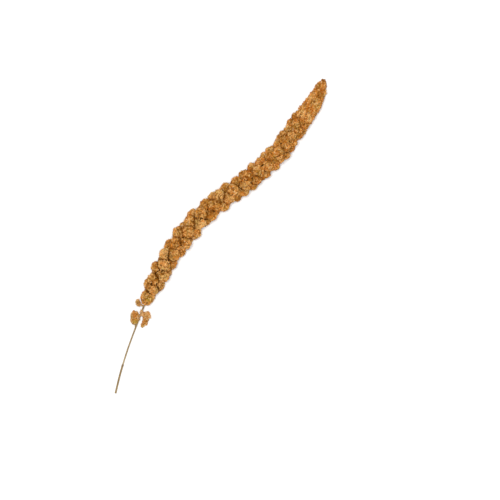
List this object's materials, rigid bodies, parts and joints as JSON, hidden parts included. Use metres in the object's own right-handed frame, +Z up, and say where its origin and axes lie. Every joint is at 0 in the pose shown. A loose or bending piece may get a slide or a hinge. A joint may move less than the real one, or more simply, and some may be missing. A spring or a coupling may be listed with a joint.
{
  "type": "millet seed head",
  "caption": "Long curved spike of tightly packed golden seed clusters on a slim cut straw stalk, lying down, with small loose clusters on side twigs below it.",
  "frame": {"origin": "centre of the bounding box in plan, at the height of the surface that the head lies on", "axes": "+X from the stalk's cut end to the head's tip, +Z up as it lies, +Y to the left of that way"},
  "size_m": [0.3207, 0.0486, 0.0194],
  "materials": {
    "straw": "dry ribbed straw, dull",
    "seed": "small hard seeds in papery husks, satin",
    "loose_seed": "small hard seeds in papery husks, paler, satin"
  },
  "bodies": {
    "root": {"stem": "straw", "seed_head": "seed", "side_cluster_left": "loose_seed", "side_cluster_right": "loose_seed", "side_cluster_upper": "loose_seed"}
  },
  "joints": []
}
